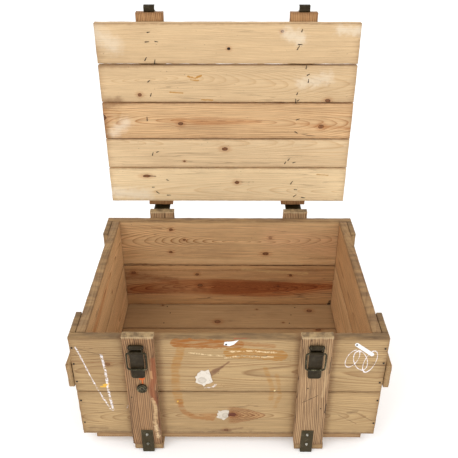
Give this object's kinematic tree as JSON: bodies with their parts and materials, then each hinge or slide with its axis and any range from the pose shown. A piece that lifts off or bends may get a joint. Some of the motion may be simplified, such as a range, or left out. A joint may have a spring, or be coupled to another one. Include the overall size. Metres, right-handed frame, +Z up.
{
  "type": "wooden shipping crate",
  "caption": "Open wooden crate with a hinged battened lid, cleat handles, skids, corner posts and toggle latches.",
  "frame": {"origin": "under the middle of the object's bounding box with the lid open, on the surface it stands on", "axes": "+Z up, +X to the right, the latches face -Y and the lid stands open at +Y"},
  "size_m": [0.7526, 0.6322, 0.9447],
  "materials": {
    "wall_wood": "weathered bare pine, horizontal grain, knots, scuffs and chalk strokes",
    "end_wood": "bare pine, warm brown with reddish heartwood",
    "batten_wood": "weathered striped pine with splits and rounded edges",
    "floor_wood": "bare pine, darkened",
    "lid_wood": "pale clean pine, faint grain, small knots",
    "olive_steel": "dark olive paint worn to grey on edges",
    "strap_steel": "grey green paint, dull",
    "pin_steel": "dull grey steel",
    "cap_steel": "dark brown, dull"
  },
  "bodies": {
    "crate_body": {"front_board_lower": "wall_wood", "front_board_upper": "wall_wood", "rear_board_lower": "wall_wood", "rear_board_upper": "wall_wood", "end_left_lower": "end_wood", "end_left_upper": "end_wood", "end_right_lower": "end_wood", "end_right_upper": "end_wood", "post_front_left": "batten_wood", "front_batten_left": "batten_wood", "post_front_right": "batten_wood", "front_batten_right": "batten_wood", "post_rear_left": "batten_wood", "rear_batten_left": "batten_wood", "post_rear_right": "batten_wood", "rear_batten_right": "batten_wood", "cleat_left": "batten_wood", "skid_left": "batten_wood", "cleat_right": "batten_wood", "skid_right": "batten_wood", "floor_board_1": "floor_wood", "floor_board_2": "floor_wood", "floor_board_3": "floor_wood", "floor_board_4": "floor_wood", "foot_strap_front_left": "strap_steel", "nail_front_left_1": "pin_steel", "nail_front_left_2": "pin_steel", "foot_strap_front_right": "strap_steel", "nail_front_right_1": "pin_steel", "nail_front_right_2": "pin_steel", "foot_strap_rear_left": "strap_steel", "nail_rear_left_1": "pin_steel", "nail_rear_left_2": "pin_steel", "foot_strap_rear_right": "strap_steel", "nail_rear_right_1": "pin_steel", "nail_rear_right_2": "pin_steel", "hinge_leaf_left": "olive_steel", "latch_base_left": "olive_steel", "hinge_pin_left": "pin_steel", "lever_pin_left": "pin_steel", "hinge_leaf_right": "olive_steel", "latch_base_right": "olive_steel", "hinge_pin_right": "pin_steel", "lever_pin_right": "pin_steel", "seal_cap": "cap_steel"},
    "lid": {"lid_board_1": "lid_wood", "lid_board_2": "lid_wood", "lid_board_3": "lid_wood", "lid_board_4": "lid_wood", "lid_board_5": "lid_wood", "lid_batten_left": "batten_wood", "lid_batten_right": "batten_wood", "hinge_strap_left": "olive_steel", "hinge_strap_right": "olive_steel", "hook_left": "olive_steel", "hook_right": "olive_steel"},
    "lever_left": {"lever_left": "olive_steel"},
    "lever_right": {"lever_right": "olive_steel"},
    "bail_left": {"bail_left": "olive_steel"},
    "bail_right": {"bail_right": "olive_steel"}
  },
  "joints": [
    {"name": "lid_hinge", "type": "hinge", "parent": "crate_body", "child": "lid", "pos_m": [0, 0.2787, 0.3569], "axis": [-1, 0, 0], "range_deg": [-90, 0]},
    {"name": "lever_pivot_left", "type": "hinge", "parent": "crate_body", "child": "lever_left", "pos_m": [-0.204, -0.3084, 0.3439], "axis": [-1, 0, 0], "range_deg": [0, 120]},
    {"name": "lever_pivot_right", "type": "hinge", "parent": "crate_body", "child": "lever_right", "pos_m": [0.1935, -0.3084, 0.3439], "axis": [-1, 0, 0], "range_deg": [0, 120]},
    {"name": "bail_pivot_left", "type": "hinge", "parent": "lever_left", "child": "bail_left", "pos_m": [-0.204, -0.3116, 0.3299], "axis": [1, 0, 0], "range_deg": [-188, 0]},
    {"name": "bail_pivot_right", "type": "hinge", "parent": "lever_right", "child": "bail_right", "pos_m": [0.1935, -0.3116, 0.3299], "axis": [1, 0, 0], "range_deg": [-188, 0]}
  ]
}
